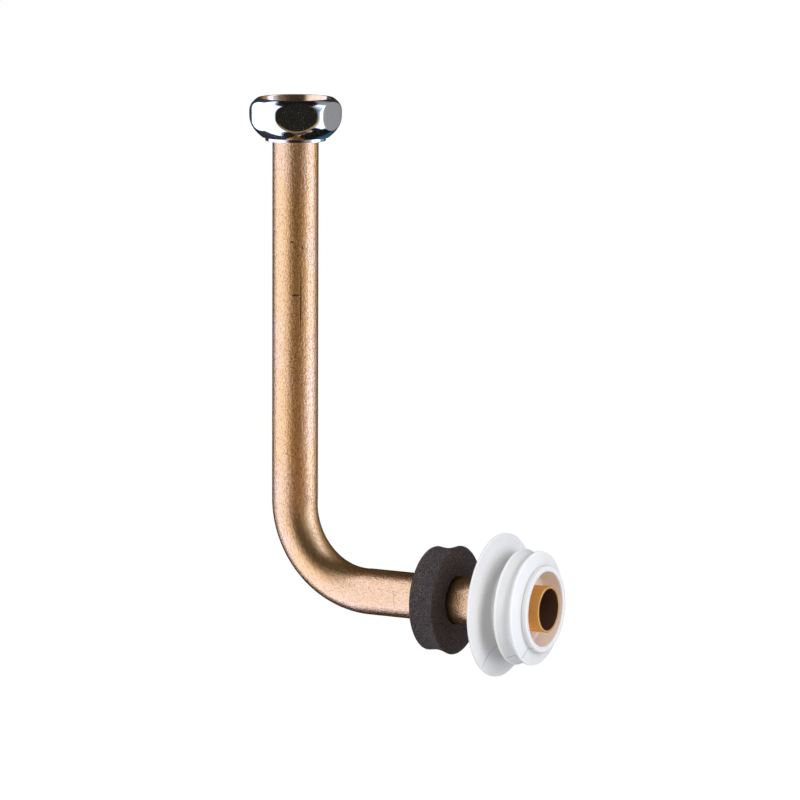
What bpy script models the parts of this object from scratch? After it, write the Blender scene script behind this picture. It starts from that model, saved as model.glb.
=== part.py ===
"""Urinal inlet connector: a bent copper flush pipe with a union nut, a flat gasket, a foam ring and a rubber cuff.

The origin is the centre of the gasket's top face, where the valve's outlet seats. +Z runs up out of the riser
and +X runs along the outlet leg towards the urinal. All lengths are in metres.
"""

import math

import bmesh
import bpy
from mathutils import Matrix, Vector

# Bent pipe
PIPE_RADIUS = 0.009
PIPE_WALL = 0.001
RISER_DROP = 0.1835
LEG_REACH = 0.1123
BEND_RADIUS = 0.034
# How far the drawn tube flattens and spreads halfway round the bend
OUTER_FLATTENING_SHARE = 0.04
INNER_FLATTENING_SHARE = 0.12
SPREAD_SHARE = 0.03
END_BEVEL = 0.00015

# Pressed collar at the top of the riser, and the gasket on it
COLLAR_LIP = 0.0028
COLLAR_THICKNESS = 0.002
COLLAR_ROUND = 0.0005
GASKET_THICKNESS = 0.002
GASKET_OVERHANG = 0.0005
SEAT_GAP = 0.0003

# Union nut
RUNNING_CLEARANCE = 0.0003
THREAD_CLEARANCE = 0.00142
SOCKET_DEPTH = 0.0085
NUT_WALL = 0.00278
NUT_FLOOR = 0.0036
# The hexagon's corners are turned down to this share of their full reach
CORNER_SHARE = 0.977
MOUTH_BEVEL = 0.00078
MOUTH_LAND = 0.0008
TOP_ROUND_HEIGHT = 0.0056
TOP_ROUND_POWER = 2.6
TAPER_HEIGHT = 0.0067
TAPER_POWER = 1.66
TAPER_FOOT_WALL = 0.00375
FOOT_BEVEL_HEIGHT = 0.0012
FOOT_WALL = 0.0022
BORE_BEVEL = 0.0003
FIRST_FLAT_ANGLE = math.radians(1.0)
CUT_OVERRUN = 0.004

# Foam ring on the leg
SLEEVE_CLEARANCE = 0.0003
FOAM_LENGTH = 0.0104
FOAM_REAR_WALL = 0.01125
FOAM_FRONT_WALL = 0.0122
FOAM_WAIST = 0.0011
FOAM_EDGE = 0.0007
FOAM_TO_CUFF = 0.0137

# Rubber cuff on the leg's end, from its mouth back
MOUTH_SETBACK = 0.0012
HOLLOW_WALL_GAP = 0.0055
HOLLOW_DEPTH = 0.008
LIP_WALL = 0.0025
LIP_ROUND = 0.0005
LIP_HEIGHT = 0.002
FRONT_FIN_SETBACK = 0.0038
FRONT_FIN_REACH = 0.0051
FRONT_FIN_RIM = 0.0009
MIDDLE_FIN_PITCH = 0.0073
MIDDLE_FIN_REACH = 0.0055
MIDDLE_FIN_RIM = 0.0009
GROOVE_DEPTH = 0.0016
GROOVE_SETBACK = 0.0026
POCKET_DEPTH = 0.0026
SKIRT_PITCH = 0.008
SKIRT_REACH = 0.01085
SKIRT_RIM = 0.0008
SKIRT_ROOT = 0.0024
SKIRT_RISE = 0.005
SLEEVE_TAIL = 0.006
SLEEVE_WALL = 0.0027
SLEEVE_ROUND = 0.0006

# Facets round each piece and along its curves
PIPE_SIDES = 36
BEND_STEPS = 15
NUT_SIDES = 60
RING_SIDES = 48
ROUND_STEPS = 2
CURVE_STEPS = 6
SMOOTH_ANGLE = math.radians(32)
QUARTER_TURN = math.pi / 2

# Sizes that follow from the ones above
BORE_RADIUS = PIPE_RADIUS - PIPE_WALL
COLLAR_RADIUS = PIPE_RADIUS + COLLAR_LIP
THREAD_RADIUS = COLLAR_RADIUS + THREAD_CLEARANCE
COLLAR_TOP = -GASKET_THICKNESS - SEAT_GAP
COLLAR_FOOT = COLLAR_TOP - COLLAR_THICKNESS
NUT_SHOULDER = COLLAR_FOOT - SEAT_GAP
NUT_FOOT = NUT_SHOULDER - NUT_FLOOR
CUFF_MOUTH = LEG_REACH - MOUTH_SETBACK
CUFF_LENGTH = FRONT_FIN_SETBACK + MIDDLE_FIN_PITCH + SKIRT_PITCH + SLEEVE_TAIL
FOAM_FRONT = CUFF_MOUTH - CUFF_LENGTH - FOAM_TO_CUFF
LEG_TURN = Matrix.Rotation(QUARTER_TURN, 4, "Y")
LEG_HEIGHT = -RISER_DROP


def clear_scene():
    for item in list(bpy.data.objects):
        bpy.data.objects.remove(item, do_unlink=True)


def make_material(name, colour, roughness, metallic=0.0):
    """A plain surface of one colour."""
    material = bpy.data.materials.new(name)
    material.use_nodes = True
    shader = material.node_tree.nodes["Principled BSDF"]
    shader.inputs["Base Color"].default_value = (*colour, 1.0)
    shader.inputs["Roughness"].default_value = roughness
    shader.inputs["Metallic"].default_value = metallic
    return material


def add_object(name, mesh_builder, material):
    """Puts a finished bmesh in the scene as one named object, shaded smooth up to SMOOTH_ANGLE."""
    bmesh.ops.recalc_face_normals(mesh_builder, faces=mesh_builder.faces)
    mesh = bpy.data.meshes.new(name)
    mesh_builder.to_mesh(mesh)
    mesh_builder.free()
    mesh.shade_smooth()
    mesh.set_sharp_from_angle(angle=SMOOTH_ANGLE)
    mesh.materials.append(material)
    item = bpy.data.objects.new(name, mesh)
    bpy.context.scene.collection.objects.link(item)
    return item


def bridge_round(mesh_builder, loops):
    """Skins a list of vertex loops, and closes the last loop onto the first."""
    for index, loop in enumerate(loops):
        following = loops[(index + 1) % len(loops)]
        for side, vertex in enumerate(loop):
            step = (side + 1) % len(loop)
            mesh_builder.faces.new((vertex, loop[step], following[step], following[side]))


def turned(profile, sides):
    """Spins a closed profile of (radius, height) points round Z into one solid ring."""
    mesh_builder = bmesh.new()
    loops = []
    for radius, height in profile:
        loop = []
        for side in range(sides):
            angle = 2 * math.pi * side / sides
            loop.append(mesh_builder.verts.new((radius * math.cos(angle), radius * math.sin(angle), height)))
        loops.append(loop)
    bridge_round(mesh_builder, loops)
    return mesh_builder


def rounded_corner(corner, before, after, size, steps=ROUND_STEPS):
    """Points that round the corner between the directions of two neighbouring points."""
    corner = Vector(corner)
    start = (Vector(before) - corner).normalized() * size
    end = (Vector(after) - corner).normalized() * size
    points = []
    for step in range(steps + 1):
        share = step / steps
        points.append(tuple(corner + start * (1 - share) ** 2 + end * share**2))
    return points


def rounded_profile(points):
    """Turns (radius, height, round) points into a closed profile, each corner rounded by its own size."""
    profile = []
    for index, (radius, height, size) in enumerate(points):
        before = points[index - 1][:2]
        after = points[(index + 1) % len(points)][:2]
        if size:
            profile.extend(rounded_corner((radius, height), before, after, size))
        else:
            profile.append((radius, height))
    return profile


def falling_curve(radius, height, foot_radius, foot_height, power, steps=CURVE_STEPS):
    """A turned shoulder that leaves a straight wall and falls away faster towards its foot."""
    points = []
    for step in range(1, steps + 1):
        share = step / steps
        points.append(
            (radius + (foot_radius - radius) * share**power, height + (foot_height - height) * share)
        )
    return points


def pipe_stations():
    """Places along the pipe's centreline from the collar's top to the leg's end: (point, direction, bend angle)."""
    down = Vector((0, 0, -1))
    along = Vector((1, 0, 0))
    centre = Vector((BEND_RADIUS, 0, LEG_HEIGHT + BEND_RADIUS))
    stations = [(Vector((0, 0, COLLAR_FOOT)), down, 0.0)]
    for step in range(BEND_STEPS + 1):
        angle = QUARTER_TURN * step / BEND_STEPS
        outward = -along * math.cos(angle) + down * math.sin(angle)
        direction = down * math.cos(angle) + along * math.sin(angle)
        stations.append((centre + outward * BEND_RADIUS, direction, angle))
    stations.append((Vector((LEG_REACH, 0, LEG_HEIGHT)), along, QUARTER_TURN))
    return stations


def pipe_loop(mesh_builder, station, radius, shift=0.0):
    """One ring of the pipe's wall, flattened where the station lies in the bend."""
    point, direction, bend_angle = station
    sideways = Vector((0, 1, 0))
    inward = direction.cross(sideways)
    bending = math.sin(2 * bend_angle)
    centre = point + direction * shift
    loop = []
    for side in range(PIPE_SIDES):
        angle = 2 * math.pi * side / PIPE_SIDES
        across = math.cos(angle)  # above zero on the bend's inner side
        flattening = INNER_FLATTENING_SHARE if across > 0 else OUTER_FLATTENING_SHARE
        reach = radius - PIPE_RADIUS * flattening * bending
        width = radius + PIPE_RADIUS * SPREAD_SHARE * bending
        loop.append(mesh_builder.verts.new(centre + inward * reach * across + sideways * width * math.sin(angle)))
    return loop


def collar_profile():
    """The collar's outside, from its foot on the pipe round its rim to the bore: (radius, height above the foot)."""
    points = [
        (PIPE_RADIUS, 0.0, 0.0),
        (COLLAR_RADIUS, 0.0, COLLAR_ROUND),
        (COLLAR_RADIUS, COLLAR_THICKNESS, COLLAR_ROUND),
        (BORE_RADIUS, COLLAR_THICKNESS, COLLAR_ROUND),
        (BORE_RADIUS, 0.0, 0.0),
    ]
    return rounded_profile(points)


def make_pipe():
    """The tube from its pressed collar down the riser, round the bend and out along the leg."""
    mesh_builder = bmesh.new()
    stations = pipe_stations()
    top = stations[0]
    end = stations[-1]
    loops = [pipe_loop(mesh_builder, station, PIPE_RADIUS) for station in stations[1:-1]]
    loops.append(pipe_loop(mesh_builder, end, PIPE_RADIUS, -END_BEVEL))
    loops.append(pipe_loop(mesh_builder, end, PIPE_RADIUS - END_BEVEL))
    loops.append(pipe_loop(mesh_builder, end, BORE_RADIUS + END_BEVEL))
    loops.append(pipe_loop(mesh_builder, end, BORE_RADIUS, -END_BEVEL))
    loops.extend(pipe_loop(mesh_builder, station, BORE_RADIUS) for station in reversed(stations[1:-1]))
    for radius, height in reversed(collar_profile()):
        loops.append(pipe_loop(mesh_builder, top, radius, -height))
    bridge_round(mesh_builder, loops)
    return add_object("flush_pipe", mesh_builder, make_material("copper", (0.80, 0.50, 0.30), 0.28, 1.0))


def make_gasket():
    """The flat washer between the collar and the valve's outlet."""
    inner = BORE_RADIUS + GASKET_OVERHANG
    profile = [
        (inner, -GASKET_THICKNESS),
        (COLLAR_RADIUS, -GASKET_THICKNESS),
        (COLLAR_RADIUS, 0.0),
        (inner, 0.0),
    ]
    return add_object("seat_gasket", turned(profile, RING_SIDES), make_material("gasket", (0.05, 0.05, 0.05), 0.7))


def nut_profile():
    """The nut's turned section: bore, collar shoulder, thread socket, mouth, rounded top and tapered foot."""
    bore = PIPE_RADIUS + RUNNING_CLEARANCE
    mouth = THREAD_RADIUS + MOUTH_BEVEL
    corner = hexagon_radius() * CORNER_SHARE
    taper_foot = NUT_FOOT + FOOT_BEVEL_HEIGHT
    profile = [
        (bore, NUT_FOOT + BORE_BEVEL),
        (bore, NUT_SHOULDER),
        (THREAD_RADIUS, NUT_SHOULDER),
        (THREAD_RADIUS, SOCKET_DEPTH - MOUTH_BEVEL),
        (mouth, SOCKET_DEPTH),
        (mouth + MOUTH_LAND, SOCKET_DEPTH),
    ]
    rounding = falling_curve(
        corner, SOCKET_DEPTH - TOP_ROUND_HEIGHT, mouth + MOUTH_LAND, SOCKET_DEPTH, TOP_ROUND_POWER
    )
    profile.extend(reversed(rounding[:-1]))
    profile.append((corner, SOCKET_DEPTH - TOP_ROUND_HEIGHT))
    profile.append((corner, taper_foot + TAPER_HEIGHT))
    profile.extend(
        falling_curve(corner, taper_foot + TAPER_HEIGHT, bore + TAPER_FOOT_WALL, taper_foot, TAPER_POWER)
    )
    profile.append((bore + FOOT_WALL, NUT_FOOT))
    profile.append((bore + BORE_BEVEL, NUT_FOOT))
    return profile


def hexagon_radius():
    """Distance from the axis to the hexagon's full corners."""
    return (THREAD_RADIUS + NUT_WALL) / math.cos(math.pi / 6)


def make_hexagon_cutter():
    """A hexagonal prism as tall as the nut and more, one of its flats facing FIRST_FLAT_ANGLE round from +X."""
    mesh_builder = bmesh.new()
    low = NUT_FOOT - CUT_OVERRUN
    high = SOCKET_DEPTH + CUT_OVERRUN
    bmesh.ops.create_cone(
        mesh_builder,
        cap_ends=True,
        segments=6,
        radius1=hexagon_radius(),
        radius2=hexagon_radius(),
        depth=high - low,
        matrix=Matrix.Translation((0, 0, (low + high) / 2)) @ Matrix.Rotation(FIRST_FLAT_ANGLE, 4, "Z"),
    )
    cutter = add_object("hexagon_cutter", mesh_builder, make_material("guide", (0.5, 0.5, 0.5), 0.5))
    cutter.hide_render = True
    cutter.display_type = "WIRE"
    return cutter


def make_nut():
    """The union nut, a turned ring cut to six flats, which turns freely on the riser under the collar."""
    nut = add_object("union_nut", turned(nut_profile(), NUT_SIDES), make_material("chrome", (0.8, 0.8, 0.82), 0.06, 1.0))
    flats = nut.modifiers.new("flats", "BOOLEAN")
    flats.operation = "INTERSECT"
    flats.solver = "EXACT"
    flats.object = make_hexagon_cutter()
    return nut


def foam_profile():
    """The foam ring's section, its outside drawn in at the waist, as (radius, place along the leg)."""
    inner = PIPE_RADIUS + SLEEVE_CLEARANCE
    rear = FOAM_FRONT - FOAM_LENGTH
    rear_radius = PIPE_RADIUS + FOAM_REAR_WALL
    front_radius = PIPE_RADIUS + FOAM_FRONT_WALL
    points = [(inner, rear), (rear_radius - FOAM_EDGE, rear)]
    span = FOAM_LENGTH - 2 * FOAM_EDGE
    for step in range(CURVE_STEPS + 1):
        share = step / CURVE_STEPS
        waist = FOAM_WAIST * math.sin(math.pi * share)
        radius = rear_radius + (front_radius - rear_radius) * share - waist
        points.append((radius, rear + FOAM_EDGE + span * share))
    points.append((front_radius - FOAM_EDGE, FOAM_FRONT))
    points.append((inner, FOAM_FRONT))
    return points


def make_foam_ring():
    """The cellular rubber ring that is pushed up against the urinal's back."""
    ring = add_object("foam_ring", turned(foam_profile(), RING_SIDES), make_material("foam", (0.045, 0.04, 0.042), 0.95))
    return seat_on_leg(ring)


def seat_on_leg(item):
    """Lays a ring turned round Z along the leg, so that its height counts from the riser's axis."""
    item.data.transform(LEG_TURN)
    item.location.z = LEG_HEIGHT
    return item


def skirt_curve(root_radius, root_place, rim_radius, rim_place):
    """The skirt's dished face, which leaves the hub along the leg and ends almost square to it."""
    points = []
    for step in range(1, CURVE_STEPS):
        angle = QUARTER_TURN * step / CURVE_STEPS
        points.append(
            (
                root_radius + (rim_radius - root_radius) * (1 - math.cos(angle)),
                root_place + (rim_place - root_place) * math.sin(angle),
                0.0,
            )
        )
    return points


def cuff_profile():
    """The cuff's section from its mouth back over the three fins to the sleeve and through the bore.

    Points are (radius, place along the leg, rounding). The front fin, the middle fin and the skirt stand on a hub
    that is hollow round the pipe's end.
    """
    grip = PIPE_RADIUS + SLEEVE_CLEARANCE
    hollow = PIPE_RADIUS + HOLLOW_WALL_GAP
    lip = hollow + LIP_WALL
    front_rim = lip + FRONT_FIN_REACH
    middle_rim = lip + MIDDLE_FIN_REACH
    skirt_rim = lip + SKIRT_REACH
    front = CUFF_MOUTH - FRONT_FIN_SETBACK
    middle = front - MIDDLE_FIN_PITCH
    skirt = middle - SKIRT_PITCH
    tail = skirt - SLEEVE_TAIL
    groove = front_rim - GROOVE_DEPTH
    skirt_root = skirt + SKIRT_RISE
    points = [
        (hollow, CUFF_MOUTH, LIP_ROUND),
        (lip, CUFF_MOUTH, LIP_ROUND),
        (lip, CUFF_MOUTH - LIP_HEIGHT, LIP_ROUND),
        (front_rim, front, SKIRT_RIM / 3),
        (front_rim, front - FRONT_FIN_RIM, SKIRT_RIM / 3),
        (groove, front - GROOVE_SETBACK, GROOVE_DEPTH / 2),
        (middle_rim, middle, MIDDLE_FIN_RIM / 3),
        (middle_rim - MIDDLE_FIN_RIM, middle - MIDDLE_FIN_RIM / 2, MIDDLE_FIN_RIM / 3),
        (lip + MIDDLE_FIN_RIM, middle + POCKET_DEPTH, MIDDLE_FIN_RIM),
        (lip, middle + POCKET_DEPTH / 2, MIDDLE_FIN_RIM),
        (lip, skirt_root, 0.0),
    ]
    points.extend(skirt_curve(lip, skirt_root, skirt_rim, skirt))
    points.append((skirt_rim, skirt, SKIRT_RIM / 3))
    points.append((skirt_rim, skirt - SKIRT_RIM, SKIRT_RIM / 3))
    rear_face = skirt_curve(hollow, skirt_root - SKIRT_ROOT, skirt_rim, skirt - SKIRT_RIM)
    points.extend(reversed(rear_face))
    sleeve = grip + SLEEVE_WALL
    points.extend(
        [
            (sleeve, skirt_root - SKIRT_ROOT, SLEEVE_ROUND),
            (sleeve, tail, SLEEVE_ROUND),
            (grip, tail, SLEEVE_ROUND),
            (grip, CUFF_MOUTH - HOLLOW_DEPTH, SLEEVE_ROUND / 2),
            (hollow, CUFF_MOUTH - HOLLOW_DEPTH, SLEEVE_ROUND),
        ]
    )
    return rounded_profile(points)


def make_cuff():
    """The moulded cuff that grips the leg and seals in the urinal's inlet."""
    cuff = add_object("inlet_cuff", turned(cuff_profile(), RING_SIDES), make_material("rubber", (0.86, 0.86, 0.85), 0.35))
    return seat_on_leg(cuff)


def main():
    clear_scene()
    make_pipe()
    make_gasket()
    make_nut()
    make_foam_ring()
    make_cuff()


main()
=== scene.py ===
"""The looks of the urinal inlet connector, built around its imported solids."""
import math

import bpy
import numpy as np
from mathutils import Matrix, Vector, noise


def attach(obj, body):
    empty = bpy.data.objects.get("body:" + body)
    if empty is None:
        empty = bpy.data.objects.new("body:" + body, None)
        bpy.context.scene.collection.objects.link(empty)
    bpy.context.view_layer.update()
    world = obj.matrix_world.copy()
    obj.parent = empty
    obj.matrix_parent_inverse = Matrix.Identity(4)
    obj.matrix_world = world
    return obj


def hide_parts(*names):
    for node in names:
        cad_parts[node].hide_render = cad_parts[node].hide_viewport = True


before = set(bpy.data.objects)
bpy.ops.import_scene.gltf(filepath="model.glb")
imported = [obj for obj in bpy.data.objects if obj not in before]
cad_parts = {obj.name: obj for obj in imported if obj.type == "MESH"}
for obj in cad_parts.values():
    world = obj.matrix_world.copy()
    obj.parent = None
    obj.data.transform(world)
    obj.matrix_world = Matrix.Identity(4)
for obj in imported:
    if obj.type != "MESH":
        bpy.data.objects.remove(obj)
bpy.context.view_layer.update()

# Pipe, in metres
PIPE_RADIUS = 0.009
PIPE_WALL = 0.001
BORE_RADIUS = PIPE_RADIUS - PIPE_WALL
RISER_DROP = 0.1835
LEG_REACH = 0.1123
BEND_RADIUS = 0.034
OUTER_FLATTENING = 0.04
INNER_FLATTENING = 0.12
SPREAD = 0.03
COLLAR_RADIUS = 0.0118
COLLAR_THICKNESS = 0.002
COLLAR_TOP = -0.0023
COLLAR_ROUNDING = 0.0005
CUT_END_ROUNDING = 0.00018

# Union nut and its G 3/4 thread
NUT_TOP = 0.0085
NUT_FOOT = -0.0082
NUT_SHOULDER = -0.0046
NUT_BORE = 0.0093
HALF_FLATS = 0.016
NUT_CORNER = 0.01805
HEXAGON_SECTOR = math.radians(60)
FIRST_FLAT = math.radians(1.0)
MOUTH_RADIUS = 0.014
LAND_RADIUS = 0.0148
ROUND_HEIGHT = 0.0056
ROUND_POWER = 2.6
TAPER_HEIGHT = 0.0092
TAPER_POWER = 2.4
TAPER_FOOT = 0.01305
SPIGOT_HEIGHT = 0.0014
SPIGOT_RADIUS = 0.01185
FLAT_CROWN = 0.00025
CROWN_START = 0.005
CROWN_CURVE = 23.4
FLAT_SOFTNESS = 0.00009
NUT_EDGE = 0.0001
COUNTERBORE = 0.0025
THREAD_MAJOR = 0.01322
THREAD_MINOR = 0.01206
THREAD_PITCH = 0.001814
THREAD_STEP = 0.00013
THREAD_UNDERCUT = 0.002
THREAD_FADE = 0.0015

# Gasket, foam ring and cuff
GASKET_INNER = 0.0085
GASKET_THICKNESS = 0.002
GRIP_RADIUS = 0.0093
FOAM_REAR = 0.0619
FOAM_FRONT = 0.0723
FOAM_REAR_RADIUS = 0.02025
FOAM_FRONT_RADIUS = 0.0212
FOAM_WAIST = 0.0008
FOAM_EDGE = 0.0003
PORE_SPACING = 0.001
PORE_DEPTH = 0.00016
FOAM_SWELL = 0.00004
CUFF_MOUTH = 0.1111
CUFF_HOLLOW = 0.0145
HOLLOW_DEPTH = 0.008
CUFF_LIP = 0.017
FRONT_FIN_HEIGHT = 0.0051
MIDDLE_FIN_HEIGHT = 0.0055
SKIRT_HEIGHT = 0.01085
FRONT_FIN_SETBACK = 0.0038
MIDDLE_FIN_PITCH = 0.0073
SKIRT_PITCH = 0.008
SKIRT_THICKNESS = 0.0008
SKIRT_DISHING = 0.005
SLEEVE_WALL = 0.0027
SLEEVE_LENGTH = 0.006
PARTING_ANGLE = math.radians(-36.5)
PARTING_RIDGE = 0.00014
PARTING_WIDTH = 0.00015

# The photograph's camera
CAMERA_AZIMUTH = 28.54
CAMERA_ELEVATION = 8.33
CAMERA_ROLL = 0.25
CAMERA_DISTANCE = 2.15687
CAMERA_TARGET = Vector((0.0468, 0.0, -0.10693))
CAMERA_LENS = 250.16
CAMERA_SENSOR = 36.0

# Studio
STUDIO_CENTRE = Vector((0.05, 0.0, -0.1))
SURROUND_RADIUS = 1.6
FLOOR_HEIGHT = -0.34
FLOOR_SIZE = 12.0
FLOOR_GREY = (0.86, 0.86, 0.86, 1)
FLOOR_WHITENESS = 1.07
FLOOR_WHITE_SHARE = 0.9
ROOM_COLOUR = (0.97, 0.98, 1.0, 1)
ROOM_STRENGTH = 0.42
WHITE = (1, 1, 1, 1)


# Meshes


def ring_faces(rows, columns):
    """Quads over rows that each close on themselves, the last row joined to the first."""
    row = np.arange(rows)[:, None]
    column = np.arange(columns)[None, :]
    after = (row + 1) % rows
    beside = (column + 1) % columns
    corners = [
        row * columns + column,
        row * columns + beside,
        after * columns + beside,
        after * columns + column,
    ]
    return np.stack([np.broadcast_to(corner, (rows, columns)) for corner in corners], -1).reshape(-1, 4)


def skin(name, loops, places, tracks=None):
    """A ring-shaped solid over loops[row, column], with a place for its textures on each point."""
    rows, columns = loops.shape[:2]
    points = loops.reshape(-1, 3)
    faces = ring_faces(rows, columns)
    a, b, c, d = (points[faces[:, k]] for k in range(4))
    volume = (a * (np.cross(b, c) + np.cross(c, d))).sum()
    if volume < 0:
        faces = faces[:, ::-1]
    mesh = bpy.data.meshes.new(name)
    mesh.from_pydata(points.tolist(), [], faces.tolist())
    mesh.shade_smooth()
    set_attribute(mesh, "place", places)
    if tracks is not None:
        set_attribute(mesh, "track", tracks)
    mesh.update()
    item = bpy.data.objects.new(name, mesh)
    bpy.context.scene.collection.objects.link(item)
    return item


def set_attribute(mesh, name, values):
    """Stores three numbers on each point of a mesh."""
    layer = mesh.attributes.new(name, "FLOAT_VECTOR", "POINT")
    layer.data.foreach_set("vector", values.reshape(-1, 3).astype(np.float32).ravel())


def rounded(points, steps=5):
    """Rounds each (x, y, size) corner of a closed outline with a short arc."""
    outline = []
    count = len(points)
    for index, (x, y, size) in enumerate(points):
        corner = np.array((x, y))
        if not size:
            outline.append(corner)
            continue
        before = np.array(points[index - 1][:2]) - corner
        after = np.array(points[(index + 1) % count][:2]) - corner
        start = before / np.linalg.norm(before) * size
        end = after / np.linalg.norm(after) * size
        for step in range(steps + 1):
            share = step / steps
            outline.append(corner + start * (1 - share) ** 2 + end * share**2)
    return np.array(outline)


def refined(outline, spacing):
    """Adds points along a closed outline, so that none lie further apart than spacing."""
    points = []
    for index, point in enumerate(outline):
        following = outline[(index + 1) % len(outline)]
        parts = max(1, int(math.ceil(np.linalg.norm(following - point) / spacing)))
        for part in range(parts):
            points.append(point + (following - point) * part / parts)
    return np.array(points)


def turned_loops(outline, angles):
    """Spins (radius, height) points round +Z: loops[row, column]."""
    radius = outline[:, 0][:, None]
    height = np.broadcast_to(outline[:, 1][:, None], (len(outline), len(angles)))
    return np.stack([radius * np.cos(angles), radius * np.sin(angles), height], -1)


def laid_on_leg(loops):
    """Lays loops turned round +Z along the leg, heights counting from the riser's axis."""
    return np.stack([loops[..., 2], loops[..., 1], -loops[..., 0] - RISER_DROP], -1)


def even_angles(count):
    """Angles spread evenly over a full turn."""
    return 2 * math.pi * np.arange(count) / count


# Pieces


def pipe_stations():
    """(point, direction, bend angle, distance) along the pipe's middle, from collar to leg's end."""
    down, along = Vector((0, 0, -1)), Vector((1, 0, 0))
    collar_foot = COLLAR_TOP - COLLAR_THICKNESS
    bend_top = BEND_RADIUS - RISER_DROP
    stations = []
    for height in np.linspace(collar_foot, bend_top, 30)[:-1]:
        stations.append((Vector((0, 0, height)), down, 0.0, COLLAR_TOP - height))
    centre = Vector((BEND_RADIUS, 0, bend_top))
    for angle in np.linspace(0, math.pi / 2, 61):
        outward = -along * math.cos(angle) + down * math.sin(angle)
        direction = down * math.cos(angle) + along * math.sin(angle)
        distance = COLLAR_TOP - bend_top + BEND_RADIUS * angle
        stations.append((centre + outward * BEND_RADIUS, direction, angle, distance))
    start = stations[-1][3]
    for reach in np.linspace(BEND_RADIUS, LEG_REACH, 20)[1:]:
        stations.append((Vector((reach, 0, -RISER_DROP)), along, math.pi / 2, start + reach - BEND_RADIUS))
    return stations


def pipe_loop(station, radius, angles, shift=0.0):
    """One ring of the pipe's wall, drawn in on the bend's inner side as bent tube is."""
    point, direction, bend_angle, distance = station
    sideways = Vector((0, 1, 0))
    inward = direction.cross(sideways)
    bending = math.sin(2 * bend_angle)
    across = np.cos(angles)
    flattening = np.where(across > 0, INNER_FLATTENING, OUTER_FLATTENING)
    reach = (radius - PIPE_RADIUS * flattening * bending) * across
    width = (radius + PIPE_RADIUS * SPREAD * bending) * np.sin(angles)
    centre = np.array(point + direction * shift)
    loop = centre + reach[:, None] * np.array(inward) + width[:, None] * np.array(sideways)
    along = np.full(len(angles), distance + shift)
    place = np.stack([radius * across, radius * np.sin(angles), along], -1)
    turn = np.degrees((angles + math.pi) % (2 * math.pi) - math.pi)
    track = np.stack([turn, along * 1000, np.full(len(angles), radius)], -1)
    return loop, place, track


def make_pipe():
    """The bent copper tube with its pressed collar and cut end."""
    angles = even_angles(128)
    stations = pipe_stations()
    rings = []
    for station in stations[:-1]:
        rings.append((station, PIPE_RADIUS, 0.0))
    before_end = -0.002
    cut_end = [
        (PIPE_RADIUS, before_end, 0),
        (PIPE_RADIUS, 0.0, CUT_END_ROUNDING),
        (BORE_RADIUS, 0.0, CUT_END_ROUNDING),
        (BORE_RADIUS, before_end, 0),
    ]
    for radius, shift in rounded(cut_end, 4):
        rings.append((stations[-1], radius, shift))
    for station in reversed(stations[:-1]):
        rings.append((station, BORE_RADIUS, 0.0))
    collar = [
        (BORE_RADIUS, 0.0003, 0),
        (BORE_RADIUS, COLLAR_THICKNESS, COLLAR_ROUNDING),
        (COLLAR_RADIUS, COLLAR_THICKNESS, COLLAR_ROUNDING),
        (COLLAR_RADIUS, 0.0, COLLAR_ROUNDING),
        (PIPE_RADIUS + COLLAR_ROUNDING, 0.0, 0),
    ]
    for radius, height in rounded(collar, 4):
        rings.append((stations[0], radius, -height))
    made = [pipe_loop(station, radius, angles, shift) for station, radius, shift in rings]
    loops, places, tracks = (np.array([ring[k] for ring in made]) for k in range(3))
    return skin("copper_flush_pipe", loops, places, tracks)


def soft_least(a, b, width):
    """The lesser of two lengths, with the edge between them rounded over about width."""
    low = np.minimum(a, b)
    return low - width * np.log1p(np.exp(-np.abs(a - b) / width))


def flat_reach(from_flat):
    """Reach to a hexagon's flat at angles from its middle, worn down towards its ends by polishing."""
    level = HALF_FLATS + FLAT_CROWN
    reach = level / np.cos(from_flat)
    for _ in range(4):
        worn = np.maximum(np.abs(reach * np.sin(from_flat)) - CROWN_START, 0)
        reach = (level - CROWN_CURVE * worn**2) / np.cos(from_flat)
    return reach


def nut_outside():
    """(radius, height) down the nut's turned outside from the mouth to the foot."""
    points = []
    for radius in np.linspace(MOUTH_RADIUS + NUT_EDGE, LAND_RADIUS, 4)[:-1]:
        points.append((radius, NUT_TOP))
    for share in np.linspace(1, 0, 40):
        radius = NUT_CORNER + (LAND_RADIUS - NUT_CORNER) * share**ROUND_POWER
        points.append((radius, NUT_TOP - ROUND_HEIGHT * (1 - share)))
    taper_foot = NUT_FOOT + SPIGOT_HEIGHT
    taper_top = taper_foot + TAPER_HEIGHT
    for height in np.linspace(NUT_TOP - ROUND_HEIGHT, taper_top, 6)[1:-1]:
        points.append((NUT_CORNER, height))
    for share in np.linspace(0, 1, 52):
        radius = NUT_CORNER + (TAPER_FOOT - NUT_CORNER) * share**TAPER_POWER
        points.append((radius, taper_top - TAPER_HEIGHT * share))
    points += [
        (TAPER_FOOT - NUT_EDGE / 2, taper_foot - NUT_EDGE / 2),
        (TAPER_FOOT - 2 * NUT_EDGE, taper_foot - NUT_EDGE),
        (SPIGOT_RADIUS - NUT_EDGE, taper_foot - NUT_EDGE),
        (SPIGOT_RADIUS - 1.5 * NUT_EDGE, taper_foot - 1.5 * NUT_EDGE),
        (SPIGOT_RADIUS - 1.4 * NUT_EDGE, taper_foot - 2.5 * NUT_EDGE),
        (SPIGOT_RADIUS, NUT_FOOT + 2 * NUT_EDGE),
        (SPIGOT_RADIUS, NUT_FOOT + NUT_EDGE),
        (SPIGOT_RADIUS - NUT_EDGE, NUT_FOOT),
    ]
    return np.array(points)


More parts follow.
